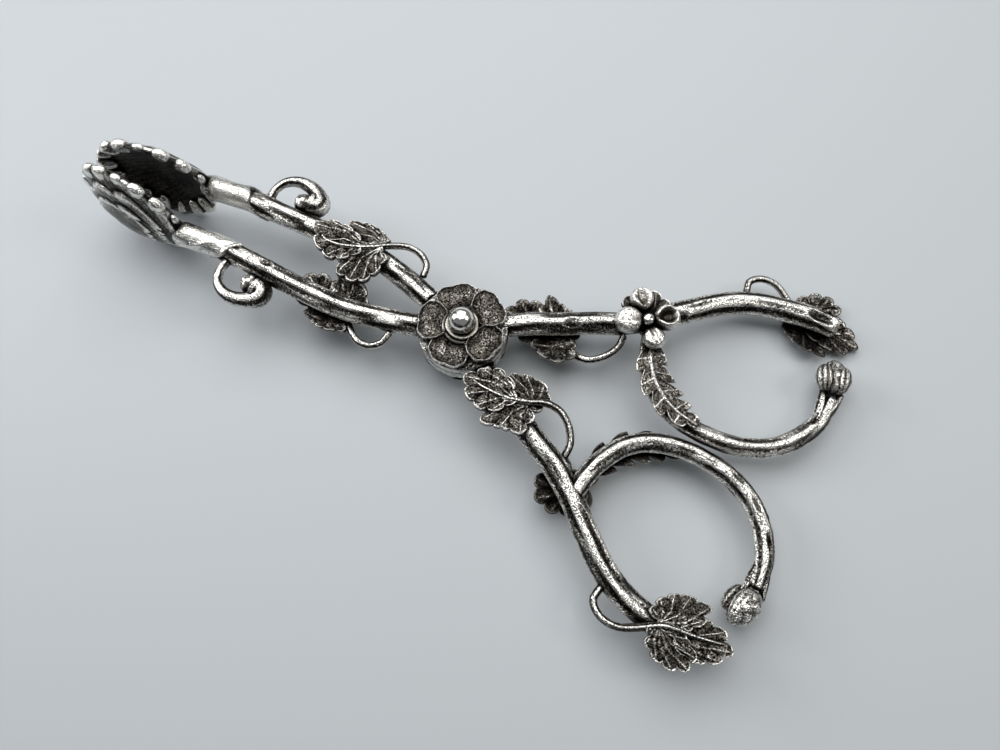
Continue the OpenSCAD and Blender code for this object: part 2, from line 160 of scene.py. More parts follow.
def silver(name, stipple_mm, stipple_depth, brush, contrast, colours, roughness):
    """Oxidised silver: shade = (worn + marks) * openness of the corner ** 2.2. The openness is ambient
    occlusion, so this darkening is partly patina in the hollows and partly painted shade where parts
    meet. The colours run from a hollow over an open face to a ridge, and the roughness from a ridge to a
    hollow. contrast says how much the marks darken it, brush how deep the polishing lines are."""
    material = bpy.data.materials.new(name)
    material.use_nodes = True
    tree = material.node_tree
    place = add_node(tree, "ShaderNodeTexCoord", output="Object")
    worn = add_node(tree, "ShaderNodeAttribute", {"attribute_name": "worn"}, output="Fac")
    grain = add_node(tree, "ShaderNodeTexNoise", inputs={
        "Vector": place, "Scale": 1 / (stipple_mm * MM), "Detail": 2.0, "Roughness": 0.6})
    cloud = add_node(tree, "ShaderNodeTexNoise", inputs={
        "Vector": place, "Scale": 1 / (CLOUD_MM * MM), "Detail": 4.0, "Roughness": 0.6})
    pits = add_node(tree, "ShaderNodeTexVoronoi", {"feature": "F1"}, {
        "Vector": place, "Scale": 1 / (stipple_mm * 1.15 * MM)})
    pit = add_node(tree, "ShaderNodeMapRange", {"interpolation_type": "SMOOTHSTEP"}, {
        "Value": pits, "From Min": 0.16, "From Max": 0.5})
    # Ambient occlusion: inner corners and the gaps between parts turn darker, partly patina in the
    # hollows and partly painted shade.
    openness = add_node(tree, "ShaderNodeAmbientOcclusion", {"samples": 8}, {
        "Distance": CORNER_PATINA_AND_SHADE_MM * MM}, output="AO")
    marks = None
    for source, gain, offset in ((cloud, 0.5, -0.25), (grain, 1.7 * contrast, -0.85 * contrast),
                                 (pit, 0.55 * contrast, -0.4 * contrast)):
        mark = add_node(tree, "ShaderNodeMath", {"operation": "MULTIPLY_ADD"},
                        {0: source, 1: gain, 2: offset})
        marks = mark if marks is None else add_node(
            tree, "ShaderNodeMath", {"operation": "ADD"}, {0: marks, 1: mark})
    tone = add_node(tree, "ShaderNodeMath", {"operation": "ADD"}, {0: worn, 1: marks})
    # Painted shade and patina in the corners: the openness to the power 2.2 darkens the tone.
    patina_and_painted_shade = add_node(tree, "ShaderNodeMath", {"operation": "POWER"}, {0: openness, 1: 2.2})
    shade = add_node(tree, "ShaderNodeMath", {"operation": "MULTIPLY", "use_clamp": True},
                     {0: tone, 1: patina_and_painted_shade})
    colour = add_node(tree, "ShaderNodeValToRGB", inputs={"Fac": shade})
    stops = colour.node.color_ramp.elements
    stops.new(0.5)
    for stop, position, code in zip(stops, (0.08, 0.45, 0.8), colours):
        stop.position = position
        stop.color = linear(code)
    gloss = add_node(tree, "ShaderNodeMapRange", inputs={
        "Value": shade, "To Min": roughness[1], "To Max": roughness[0]})
    rise = [add_node(tree, "ShaderNodeMath", {"operation": "MULTIPLY"}, {0: source, 1: 0.8})
            for source in (grain, pit)]
    height = add_node(tree, "ShaderNodeMath", {"operation": "ADD"}, {0: rise[0], 1: rise[1]})
    if brush:
        stretched = add_node(tree, "ShaderNodeMapping", inputs={
            "Vector": place, "Scale": (0.06, 1.0, 1.0)})
        lines = add_node(tree, "ShaderNodeTexNoise", inputs={
            "Vector": stretched, "Scale": 1 / (BRUSH_MM * MM), "Detail": 2.0})
        scratch = add_node(tree, "ShaderNodeMath", {"operation": "MULTIPLY"}, {0: lines, 1: brush})
        height = add_node(tree, "ShaderNodeMath", {"operation": "ADD"}, {0: height, 1: scratch})
    bump = add_node(tree, "ShaderNodeBump", inputs={
        "Height": height, "Strength": stipple_depth, "Distance": PUNCH_MM * MM})
    shader = tree.nodes["Principled BSDF"]
    for key, value in {"Base Color": colour, "Roughness": gloss, "Normal": bump}.items():
        tree.links.new(value, shader.inputs[key])
    shader.inputs["Metallic"].default_value = 1.0
    return material


# Real punch marks are about 0.1 mm. They are drawn 0.3 mm apart, so that they show in the picture.
SILVER = {
    # Cast bark: bright broken streaks on black furrows.
    "bark": silver("bark cast silver", 0.3, 0.8, 0.5, 1.0,
                   ("090808", "69655f", "f8f6f0"), (0.17, 0.46)),
    # Leaves chased with a punch: matt and grainy, with only rims and veins bright.
    "chased": silver("chased and blackened silver", 0.3, 0.9, 0.0, 0.75,
                     ("0a0909", "6c6760", "f6f4ee"), (0.19, 0.48)),
    # Shells and petals: smoother, so that whole rims flash and the hollows are plain black.
    "shell": silver("darkened shell silver", 0.28, 0.5, 0.4, 0.5,
                    ("080807", "68645d", "f8f6f0"), (0.15, 0.42)),
    # Balls and collars: rubbed by every hand, so nearly a clean mirror.
    "polished": silver("rubbed bright silver", 0.4, 0.12, 0.0, 0.12,
                       ("1c1a18", "aaa69d", "f6f4ee"), (0.13, 0.3)),
}
print("finishes:", sorted(SILVER))

# %% [markdown]
# ## From grids to closed meshes
# Cast silver is solid, so every piece should be a closed body too. Joining simple solids would
# leave seams and lose the worn number. Instead each surface is one grid of points: rows run along
# the piece, columns go round it and join up, and both ends close in one point. The worn number
# travels with the points into the mesh.

# %% Mesh helpers
def closed_body(points, worn):
    """Vertices, faces and worn of a grid whose columns join and whose two ends meet in a point.
    The volume is the sum of face area * distance from the middle. Where it comes out below 0 the
    faces look inwards, and the columns are turned round."""
    rows, cols = points.shape[:2]
    outward = np.cross(np.roll(points, -1, axis=1)[:-1] - points[:-1], np.diff(points, axis=0))
    if np.sum(outward * (points[:-1] - points.mean((0, 1)))) < 0:
        points, worn = points[:, ::-1], worn[:, ::-1]
    ends = np.stack([points[0].mean(0), points[-1].mean(0)])
    index = np.arange(rows * cols).reshape(rows, cols)
    beside = np.roll(index, -1, axis=1)
    quads = np.stack([index[:-1], beside[:-1], beside[1:], index[1:]], axis=-1).reshape(-1, 4)
    first, last = rows * cols, rows * cols + 1
    fans = np.concatenate([
        np.stack([beside[0], index[0], np.full(cols, first)], axis=-1),
        np.stack([index[-1], beside[-1], np.full(cols, last)], axis=-1)])
    shine = np.concatenate([worn.reshape(-1), [worn[0].mean(), worn[-1].mean()]])
    return np.concatenate([points.reshape(-1, 3), ends]), quads, fans, shine


HALVES = ("upper", "lower")
BODY = {"upper": "upper_half", "lower": "lower_half"}


def node_name(half, name):
    """Name of the solid that a piece stands for. The pin and the finial have no half in theirs."""
    return name if name in ("pivot_pin", "pivot_finial") else f"{half}_{name}"


def make_piece(name, half, side, finish, slot, *grids, body=None):
    """Joins closed bodies into one mesh, puts it in its place and hides the solid it stands for."""
    points, quads, fans, shine, count = [], [], [], [], 0
    for grid in grids:
        p, q, f, w = closed_body(*grid)
        points.append(p)
        quads.append(q + count)
        fans.append(f + count)
        shine.append(w)
        count += len(p)
    points = placed(np.concatenate(points), half, side)
    faces = np.concatenate(quads).tolist() + np.concatenate(fans).tolist()
    mesh = bpy.data.meshes.new(f"{half}_{name}_visual")
    mesh.from_pydata(points.tolist(), [], faces)
    layer = mesh.attributes.new("worn", "FLOAT", "POINT")
    layer.data.foreach_set("value", np.clip(np.concatenate(shine), 0, 1).astype(np.float32))
    mesh.polygons.foreach_set("use_smooth", [True] * len(mesh.polygons))
    mesh.materials.append(SILVER[finish])
    piece = bpy.data.objects.new(f"{half}_{name}_visual", mesh)
    bpy.context.scene.collection.objects.link(piece)
    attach(piece, body or BODY[half])
    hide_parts(node_name(half, name))


print("bodies:", ", ".join(BODY.values()))

# %% [markdown]
# ## Tubes and turned bodies
# Branches, wires and stems are long and round. Buds, balls and collars are turned. Blender's own
# bevelled curves and screw modifier could make the plain forms, but not bark or scales, and they
# know nothing of worn. So a tube and a lathe are two functions here, and each takes its relief
# from a function of length and angle.

# %% Tube and lathe
def angle_off(a, middle):
    """Signed angle from middle to a, between minus and plus half a turn."""
    return np.angle(np.exp(1j * (a - middle)))


def bell(x, width):
    """Smooth hump: 1 where x is 0, and nearly 0 from twice the width on."""
    return np.exp(-(x / width) ** 2)


def smooth(points, per):
    """Curve through the rows of points, with per steps between two rows. It is a Catmull-Rom
    curve: at each point it runs parallel to the line from the point before to the one after."""
    p = np.asarray(points, float)
    q = np.concatenate([2 * p[:1] - p[1:2], p, 2 * p[-1:] - p[-2:-1]])
    t = (np.arange(per) / per)[None, :, None]
    a, b, c, d = (q[i:len(q) - 3 + i, None, :] for i in range(4))
    body = 0.5 * (2 * b + (c - a) * t + (2 * a - 5 * b + 4 * c - d) * t ** 2
                  + (3 * b - a - 3 * c + d) * t ** 3)
    return np.concatenate([body.reshape(-1, p.shape[1]), p[-1:]])


def noise(x, y, seed):
    """Soft wavy noise, mostly from -1 to 1: the sum of seven sine waves at odd angles, whose
    directions and phases come from the seed."""
    rng = np.random.default_rng(seed)
    total = 0
    for _ in range(7):
        kx, ky = rng.normal(0, 1, 2)
        total = total + np.sin(kx * x + ky * y + rng.uniform(0, 2 * np.pi))
    return total / 4


CAP_RINGS = np.array([0.15, 0.45, 0.72, 0.92])


def tube(points, relief, around, per, cap=0.5):
    """Tube along points of x, y, z and radius. Each end closes in a dome, cap radii high, whose
    rings have the shares CAP_RINGS of the radius. relief(s, a, path) takes the length s along
    the tube and the angle a round it, and gives the radial offset in mm and the worn number."""
    path = smooth(points, per)
    along = np.gradient(path[:, :3], axis=0)
    along /= np.linalg.norm(along, axis=1)[:, None]
    reach = cap * np.sqrt(1 - CAP_RINGS ** 2)
    head = np.column_stack([path[0, :3] - along[0] * path[0, 3] * reach[:, None],
                            path[0, 3] * CAP_RINGS])
    tail = np.column_stack([path[-1, :3] + along[-1] * path[-1, 3] * reach[::-1, None],
                            path[-1, 3] * CAP_RINGS[::-1]])
    path = np.concatenate([head, path, tail])
    more = len(CAP_RINGS)
    along = np.concatenate([np.repeat(along[:1], more, 0), along, np.repeat(along[-1:], more, 0)])
    side = np.cross([0.0, 0.0, 1.0], along)
    side /= np.linalg.norm(side, axis=1)[:, None]
    up = np.cross(along, side)
    step = np.linalg.norm(np.diff(path[:, :3], axis=0), axis=1)
    s = np.concatenate([[0], np.cumsum(step)])[:, None]
    a = np.linspace(0, 2 * np.pi, around, endpoint=False)[None, :]
    offset, worn = relief(s, a, path)
    radius = path[:, 3:4] + offset * (path[:, 3:4] / path[:, 3].max())
    ring = np.cos(a)[..., None] * side[:, None] + np.sin(a)[..., None] * up[:, None]
    return path[:, None, :3] + radius[..., None] * ring, worn + 0 * a


def lathe(profile, centre, axis=(0, 0, 1), around=56, per=8, relief=None):
    """Turned body: profile rows of radius, height and worn go round an axis through centre.
    relief(r, h, a, worn) may change all three with the angle a."""
    rows = smooth(profile, per)
    rows[:, 0] = np.maximum(rows[:, 0], 1e-3)
    a = np.linspace(0, 2 * np.pi, around, endpoint=False)[None, :]
    w = np.asarray(axis, float) / np.linalg.norm(axis)
    u = np.cross(w, [0.0, 1.0, 0.02] if abs(w[1]) < 0.9 else [1.0, 0.0, 0.02])
    u /= np.linalg.norm(u)
    v = np.cross(w, u)
    r, h, worn = rows[:, 0:1] + 0 * a, rows[:, 1:2] + 0 * a, rows[:, 2:3] + 0 * a
    if relief:
        r, h, worn = relief(r, h, a, worn)
    points = (np.asarray(centre) + (r * np.cos(a))[..., None] * u + (r * np.sin(a))[..., None] * v
              + h[..., None] * w)
    return points, worn


print("caps of a tube have", len(CAP_RINGS), "rings")

# %% [markdown]
# ## Blades of leaves and petals
# Vine leaves and rosette petals are thin, with a scalloped edge, a rolled rim and veins. They could be
# sculpted one by one, but there are thirty of them. Here one function makes them all: the centre and the
# tips round the edge are listed, and everything else follows from the distance to the edge and to the
# veins. The underside is plainer and lies just above the seat.

# %% Blade
SPOKES = 240
RIM_IN, RIM_WIDTH, VEIN_WIDTH = 0.17, 0.16, 0.13
UNDERSIDE = [1.0, 0.93, 0.8, 0.6, 0.35, 0.1]


def ridge(x, y, path, width):
    """Height 0 to 1 of a vein: a hump over the distance to the nearest part of a bent line."""
    line = np.asarray(path, float)
    near = np.full(x.shape, np.inf)
    for (ax, ay), (bx, by) in zip(line[:-1], line[1:]):
        dx, dy = bx - ax, by - ay
        t = np.clip(((x - ax) * dx + (y - ay) * dy) / (dx * dx + dy * dy), 0, 1)
        near = np.minimum(near, np.hypot(x - ax - t * dx, y - ay - t * dy))
    return bell(near, width)


def blade(centre, tips, root, ground, lift=0.0, thick=0.95, rim=0.17, bulge=0.3, dome=0.0,
          rings=26, vein=0.17, fringe=0.22, notch=0.24, shade=0.12):
    """Blade of a leaf or petal with a scalloped edge. Seen from the centre, its reach runs evenly
    from one tip (x, y) to the next, less a notch half way: reach * (1 - notch * (1 - circle)).
    Height = ground(x, y) + lift + thick + rim along the edge + bulge of each lobe + veins from
    the root + dome in the middle - fringe at the very edge. shade darkens what lies inside."""
    cx, cy = centre
    a = np.linspace(0, 2 * np.pi, SPOKES, endpoint=False)[None, :]
    tips = sorted(tips, key=lambda tip: math.atan2(tip[1] - cy, tip[0] - cx) % (2 * np.pi))
    aims = [math.atan2(y - cy, x - cx) % (2 * np.pi) for x, y in tips]
    fars = [math.hypot(x - cx, y - cy) for x, y in tips]
    aims = np.array([aims[-1] - 2 * np.pi, *aims, aims[0] + 2 * np.pi])
    fars = np.array([fars[-1], *fars, fars[0]])
    between = np.interp(a, aims, np.arange(len(aims))) % 1.0
    between = 1 - np.abs(2 * between - 1)
    lobed = np.sqrt(1 - np.minimum(between, 0.995) ** 2)
    edge = np.interp(a, aims, fars) * (1 - notch * (1 - lobed))
    middle_rings = np.linspace(0.03, 0.7, rings // 2)
    edge_rings = 1 - 0.3 * np.linspace(1, 0, rings // 2 + 1)[1:] ** 1.5
    top = np.concatenate([middle_rings, edge_rings])
    share = np.concatenate([top, UNDERSIDE])[:, None]
    upper = np.arange(len(share))[:, None] < len(top)
    x, y = cx + share * edge * np.cos(a), cy + share * edge * np.sin(a)
    inset = (1 - share) * edge
    rolled = bell(inset - RIM_IN, RIM_WIDTH)
    veins = np.zeros(x.shape)
    for tx, ty in tips if vein else []:
        ex, ey = tx - 0.14 * (tx - cx), ty - 0.14 * (ty - cy)
        middle = (0.45 * ex + 0.55 * root[0] + 0.13 * (ey - root[1]),
                  0.45 * ey + 0.55 * root[1] - 0.13 * (ex - root[0]))
        veins = np.maximum(veins, ridge(x, y, [root, middle, (ex, ey)], VEIN_WIDTH))
    swollen = (lobed - 0.55) * np.clip(share * 1.3, 0, 1) ** 1.5
    hollow = np.clip(inset / 0.9, 0, 1) ** 0.7 * (1 - veins * 0.8)
    wrinkle = noise(x / 0.6, y / 0.6, 41)
    relief = rim * rolled + vein * veins + bulge * swollen + 0.03 * wrinkle
    base = ground(x, y) + lift
    swell = dome * np.clip(1 - share ** 2, 0, 1)
    drop = fringe * np.clip(1 - inset / RIM_WIDTH, 0, 1) ** 2
    over = base + thick + relief + swell - drop
    under = (base + 0.12 + swell * 0.7 + np.minimum(bulge * swollen, 0)
             + 0.25 * np.clip(inset / 0.7, 0, 1))
    worn = (0.24 + 0.66 * rolled + 0.46 * veins + 0.32 * swollen * (bulge > 0) + 0.08 * wrinkle
            - shade * hollow)
    worn = np.where(upper, worn, worn - 0.1) - 0.25 * (np.abs(share - 1) < 1e-6) * upper
    return np.stack([x, y, np.where(upper, over, under)], axis=-1), worn


print("a blade has", SPOKES, "points round its edge")

# %% [markdown]
# ## The branches
# The bark of the real branches is chased into the casting: a few long ridges that wander along,
# rubbed bright on top, with black grooves between them. A bump map would not change the outline,
# so the ridges are cut into the tube itself. Oval knots are ring shaped swellings round a hollow,
# and the handle ends in a deep one, where the branch looks sawn off. Where it lies over the other
# half's plate the branch is cut flat, as a lap joint. The radii, gaps and lines are those of the
# solids, so that each dressed piece fills the space of the solid that it stands for.

# %% Bark relief and arms, in millimetres
BRANCH_R, FACE_GAP, PLATE_R, PLATE_T = 2.1, 0.1, 8.0, 2.1
JAW_ARM = [[-48.1, -5.6], [-40, -5.7], [-30, -6], [-22, -5.8], [-15, -4.6], [-10, -3.2], [-5.6, -1.8]]
HANDLE = [[5.4, 3.8], [10, 6.8], [15, 9.4], [20, 12.1], [25, 14.6], [30, 18.2], [35, 22.5],
          [40, 26.5], [45, 29], [50, 30.2], [55, 30.9]]
HANDLE_TIP = [59, 31, 0, 1.85]
JAW_KNOTS = [(11, 1.2, 1.6, 0.9, 0.25)]
HANDLE_KNOTS = [(14, 1.9, 1.7, 1.0, 0.3), (33, 2.2, 2.2, 1.1, 0.3), (59.6, 1.6, 2.9, 1.25, 0.95)]


def bark(seed, depth=0.34, knots=()):
    """Relief of wandering ridges: sharpened cosines of the angle, bent by slow noise along s.
    A knot is its place along the branch, its angle, half length, half width and depth."""
    def relief(s, a, path):
        """Radial offset and worn at length s and angle a."""
        bend = 1.1 * noise(s / 6, 0 * s, seed) + 0.35 * noise(s / 2.4, 2 * np.cos(a), seed + 1)
        crest = np.cos(4 * a + bend) + 0.75 * np.cos(7 * a - 1.7 * bend + s / 15)
        crest = crest + 0.45 * noise(s / 1.9, 3 * np.cos(a) + 3 * np.sin(a), seed + 2)
        crest = np.tanh(1.5 * crest + 0.35)
        fine = noise(s / 1.4, 6 * np.cos(a) + 6 * np.sin(a), seed + 3)
        offset = depth * (crest * 0.62 - 0.42) + 0.04 * fine
        # The flanks of the tube are 0.2 * cos(a) ** 2 darker than its top and underside.
        worn = 0.5 + 0.38 * crest + 0.12 * fine - 0.2 * np.cos(a) ** 2
        for ks, ka, kl, kw, deep in knots:
            turn = angle_off(a, ka) * path[:, 3:4]
            d = np.sqrt(((s - ks) / kl) ** 2 + (turn / kw) ** 2)
            ring = bell(d - 1, 0.2)
            offset = offset * (1 - np.exp(-(d / 0.9) ** 4)) + 0.24 * ring
            offset = offset - deep * np.exp(-(d / 0.75) ** 4)
            worn = worn + 0.5 * ring - 0.55 * np.exp(-(d / 0.78) ** 4)
        return offset, worn
    return relief


def lap(grid):
    """Cuts the branch flat where it lies over the other half's plate."""
    points, worn = grid
    near = np.hypot(points[..., 0], points[..., 1]) < PLATE_R + 0.35
    z = np.where(near, np.maximum(points[..., 2], FACE_GAP / 2 + 0.02), points[..., 2])
    return np.stack([points[..., 0], points[..., 1], z], axis=-1), worn


plate_foot, plate_top, plate_edge = FACE_GAP / 2, FACE_GAP / 2 + PLATE_T, 0.3
plate_profile = [
    *[[PLATE_R * f, plate_foot, 0.4] for f in (0.02, 0.5, 0.96)],
    [PLATE_R, plate_foot + plate_edge, 0.7], [PLATE_R, plate_top - plate_edge, 0.7],
    *[[PLATE_R * f, plate_top, 0.4] for f in (0.96, 0.5, 0.02)]]
for half in HALVES:
    jaw_arm = tube([[x, y, 0, BRANCH_R] for x, y in JAW_ARM], bark(3, knots=JAW_KNOTS),
                   around=64, per=26)
    handle = tube([[x, y, 0, BRANCH_R] for x, y in HANDLE] + [HANDLE_TIP],
                  bark(5, knots=HANDLE_KNOTS), around=72, per=26)
    make_piece("arm", half, "flower", "bark", "bark_silver", lap(jaw_arm), lap(handle),
               lathe(plate_profile, (0, 0, 0), per=4))
print("arms dressed, with", len(JAW_KNOTS + HANDLE_KNOTS), "knots each")

# %% [markdown]
# ## The shell jaws
# Each jaw is a shallow dish standing on edge. Fine strands fan out from the stem over its back,
# in three rows of petals that lie over each other like steps. Round the rim sit bright petal
# tips, every third one smaller. The inside is left dark, with fine lines. Separate petals would
# need a hidden cup behind them, so the dish is one grid instead, from the middle of the inside
# out to the rim and back to the middle of the outside, and the rows are steps in its depth.

# %% Shell dish
SHELL_R, SHELL_DEPTH, SHELL_WALL = 11.0, 5.2, 1.0
JAW_CENTRE = {"upper": (-67.0, -4.7, 0.0), "lower": (-67.0, -0.5, 0.0)}
JAW_TOE = {"upper": math.radians(1), "lower": math.radians(14)}
RIBS, STRANDS, INNER_LINES = 20, 90, 84
PETAL_ROWS = ((1.02, 0, 0.5), (0.8, 0.5, 0.5), (0.57, 0, 0.42))


def jaw_frame(half):
    """Centre of the rim, the way to the tip and the way the dish opens, turned by the toe. In the
    photograph the two halves differ a little."""
    t = JAW_TOE[half]
    return (np.array(JAW_CENTRE[half]), np.array([-math.cos(t), math.sin(t), 0.0]),
            np.array([math.sin(t), math.cos(t), 0.0]))


def shell_place(half, a, f, depth):
    """Point of the dish = centre + f * radius * (cos a to the tip, sin a upwards) - depth."""
    centre, tipward, openward = jaw_frame(half)
    flat = f * SHELL_R
    return (centre + (flat * np.cos(a))[..., None] * tipward
            + (flat * np.sin(a))[..., None] * np.array([0.0, 0.0, 1.0]) - depth[..., None] * openward)


def shell_dish(half):
    """Inside and outside of the dish. A row of petals on the back is its reach, its turn as a share
    of one petal and its height: a step, high at its own scalloped edge and falling off inwards."""
    a = np.linspace(0, 2 * np.pi, 360, endpoint=False)[None, :]
    inner = np.linspace(0.02, 0.985, 36)[:, None]
    outer = np.linspace(1.0, 0.02, 96)[:, None]

    def fan(f):
        """Angle seen from the stem."""
        return np.arctan2(f * np.sin(a), f * np.cos(a) + 1.0)

    base_in = (SHELL_DEPTH - SHELL_WALL) * (1 - inner ** 2)
    lines = np.cos(fan(inner) * INNER_LINES) * 0.5 + 0.5 * noise(fan(inner) * 22, inner * 2, 8)
    depth_in = base_in - 0.06 * lines * inner + 0 * a
    worn_in = 0.13 + 0.16 * lines * inner + 0.3 * inner ** 8
    far = np.clip(np.hypot(outer * np.cos(a) + 1, outer * np.sin(a)) / 1.1, 0, 1)
    strand = 0.5 + 0.5 * np.cos(fan(outer) * STRANDS)
    relief, worn_out = 0 * a - 0.42 * far, 0.08 + 0.2 * strand * far
    for reach, phase, height in PETAL_ROWS:
        wave = np.abs(np.cos(fan(outer) * RIBS / 2 + phase * np.pi)) ** 0.6
        edge = reach - 0.1 + 0.1 * wave
        under = 1 / (1 + np.exp((outer - edge) / 0.007))
        near = bell(edge - outer, 0.075) * under
        hump = wave * under * bell(edge - outer, 0.28)
        relief = relief + height * far * (0.75 * hump + 0.35 * near)
        worn_out = worn_out + 0.55 * near + 0.22 * hump - 0.35 * bell(outer - edge - 0.02, 0.016)
    heel = 1.4 * np.clip(-np.cos(a), 0, 1) ** 6 * outer
    bowl = SHELL_DEPTH - (SHELL_DEPTH - SHELL_WALL) * outer ** 2
    depth_out = bowl + heel + np.clip(relief, -0.5, 0.5)
    points = np.concatenate([shell_place(half, a, inner + 0 * a, depth_in),
                             shell_place(half, a, outer + 0 * a, depth_out)])
    return points, np.concatenate([worn_in + 0 * a, worn_out + 0 * a])


print("rows of petals on each shell:", len(PETAL_ROWS))

# %% Petal tips, stems and jaws
STEM_R, SMALL_TIP = 2.3, 0.68
STEM_START = [(-43.5, -5.65, 0), (-46, -5.6, 0), (-49, -5.6, 0)]
STEM_BEND = np.array([-48.28, -5.6, 0])
PETAL_AT = [20, 42, 64, 86, 107, 128, 149, 169]


def petal_tip(half, angle, size):
    """One petal tip on the rim: an egg, 1.66 * size half long and 1.12 * size half wide, bent
    round the rim and pulled back over the shell on its inner side."""
    u = np.linspace(0.06, np.pi - 0.06, 22)[:, None]
    v = np.linspace(0, 2 * np.pi, 32, endpoint=False)[None, :]
    along = 1.66 * size * np.cos(u) + 0 * v
    body = np.sin(u) ** 0.8
    back = np.clip(-np.cos(v), 0, 1)
    out = body * (1.12 * size * np.cos(v) - 1.5 * size * back ** 1.5)
    deep = body * (1.12 * size * np.sin(v)) + 0.5 * back
    crease = 0.1 * np.cos(5 * along / size) * back
    radius = SHELL_R - 0.42 + out
    turn = math.radians(angle) + along / SHELL_R
    points = shell_place(half, turn, radius / SHELL_R, 0.82 + deep + crease)
    return points, 0.98 - 0.3 * back ** 1.3 - 0.35 * np.abs(np.cos(u)) ** 5 + 0 * v


def stem_relief(s, a, path):
    """Smooth stem: brushed lines and a fold along it, and a slanting lip where the bark begins.
    Past the lip the stem is sunk into the branch."""
    x = path[:, 0:1]
    lip = -46.6 + 2.3 * np.sin(a - 0.6) + 0.5 * np.sin(3 * a)
    hidden = 1 / (1 + np.exp(-(x - lip) / 0.09))
    lines = noise(s / 9, 14 * np.cos(a) + 9 * np.sin(2 * a), 21)
    fold = bell(angle_off(a, 1.2 + (x + 50) * 0.24), 0.2)
    offset = 0.02 * lines + 0.2 * bell(x - lip + 0.5, 0.4) - 0.75 * hidden + 0.16 * fold
    return offset, 0.68 + 0.2 * lines - 0.6 * hidden + 0.3 * fold


for half in HALVES:
    centre, tipward, openward = jaw_frame(half)
    heel = centre - SHELL_R * tipward - 1.45 * openward
    tips = [petal_tip(half, 180 - t * sign, 1.0 if i % 3 else SMALL_TIP)
            for i, t in enumerate(PETAL_AT) for sign in (1, -1)]
    line = [*STEM_START, (heel + STEM_BEND) / 2, heel]
    stem = tube([[*p, STEM_R] for p in line] + [[*(heel + 1.6 * tipward), STEM_R * 0.7]],
                stem_relief, around=72, per=26)
    make_piece("jaw_shell", half, "flower", "shell", "shell_silver", shell_dish(half), stem, *tips)
print("shell jaws dressed:", len(PETAL_AT) * 2, "petal tips each")

# %% [markdown]
# ## Tendrils and their buds
# A thin wire curls out of each jaw arm, thickens like a snail and opens as a bell round a bud of small
# berries. The wire is the same tube as the branches, with a radius that grows along it and finer bark. A
# spiral by formula would be too even, so its points are listed one by one. A ball for every berry would
# be dozens of tiny bodies, and two crossed waves on one ball look the same here.

# %% Tendril and bud
TENDRIL_GAIN = 1.32
TENDRIL = [[-45.7, 7.6, 0.66], [-45.7, 9.9, 0.62], [-44.7, 11.9, 0.7], [-42.5, 13.1, 0.85],
           [-40, 13.1, 1.0], [-37.8, 12.2, 1.2], [-36.5, 10.9, 1.45], [-36.8, 9.9, 1.65],
           [-37.8, 9.75, 1.85]]
BUD_CENTRE, BUD_R, BUD_AIM = np.array([-39.3, 9.45, 0.0]), 1.85, (-0.99, -0.14, 0)
POLE_TO_POLE = np.linspace(0.05, math.pi - 0.05, 13)


def berries(r, h, a, worn):
    """Bud skin of small round berries: bump = wave round the bud * wave from pole to pole."""
    bump = np.abs(np.cos(4 * a)) * np.abs(np.cos(4.2 * np.arctan2(h, r)))
    swell = 1 + 0.07 * (bump - 0.5)
    return r * swell, h * swell, worn - 0.3 + 0.7 * bump


for half in HALVES:
    curl = tube([[x, y, 0, r * TENDRIL_GAIN] for x, y, r in TENDRIL], bark(11, 0.12),
                around=36, per=16, cap=0.2)
    ball = [[BUD_R * math.sin(t), -BUD_R * math.cos(t), 0.7] for t in POLE_TO_POLE]
    make_piece("tendril", half, "leaf", "bark", "bark_silver", curl)
    make_piece("tendril_bud", half, "leaf", "polished", "bark_silver",
               lathe(ball, BUD_CENTRE, axis=BUD_AIM, relief=berries))
print("tendrils dressed:", len(TENDRIL), "points on each wire")

# %% [markdown]
# ## Vine leaves
# Each leaf is cast thin and soldered over its branch: three blades that overlap, with a bright
# scalloped edge and veins that meet at the root. One outline for the whole leaf could not have
# blades that lie over each other, so each blade is a body of its own, on one shared ground that
# hangs down at the sides of the branch. The wire stalk runs on over the leaf as its main rib.

# %% Ground and wire of a leaf
WIRE_R, TIP_R, FULL_FROM, LEAF_DROOP = 0.65, 0.28, 5, 0.042
SEAT = BRANCH_R + FACE_GAP


def over_branch(line_point, line_angle):
    """Ground for a leaf: seat height - droop * distance from the branch line squared."""
    px, py = line_point
    c, s = math.cos(line_angle), math.sin(line_angle)

    def ground(x, y):
        """Height of the ground at x, y."""
        d = -(x - px) * s + (y - py) * c
        return SEAT - LEAF_DROOP * d ** 2
    return ground


def stalk(points):
    """Wire that starts fine at the leaf's tip. Its radius grows evenly from point to point, and
    is full where the last points begin."""
    n = len(points)
    radii = [TIP_R + (WIRE_R - TIP_R) * min(1, i / (n - FULL_FROM)) for i in range(n)]
    return tube([[*p, r] for p, r in zip(points, radii)], bark(17, 0.07), around=24, per=12)


print("seat of a leaf over a branch:", SEAT)

# %% Blades and stalks, listed one by one
# A blade is its centre, its root, its lift over the others and the tips round its edge.
LEAF_T, END_LEAF_T = 0.95, 0.58
FRONT_BLADES = [
    ((-23.6, 8.2), (-20.2, 7.6), -0.3, [
        (-27.6, 6.6), (-28.4, 9.2), (-25.2, 10.5), (-22, 10.2), (-19.8, 9.2), (-20, 6.6),
        (-23.5, 5.8)]),
    ((-22.3, 3.2), (-20.4, 6.6), -0.05, [
        (-26.8, 2.2), (-25.9, -0.8), (-23, -1.1), (-20.3, 0), (-18.6, 2.6), (-18.3, 5.4),
        (-20.4, 7.2), (-24.6, 5.6)]),
    ((-27.8, 4.6), (-23, 5.4), 0.2, [
        (-33.9, 5.6), (-31.9, 2.2), (-28.6, 0.8), (-25.6, 1.8), (-23, 4.2), (-24.6, 6.9),
        (-27.6, 7.9), (-30.9, 7.7)])]
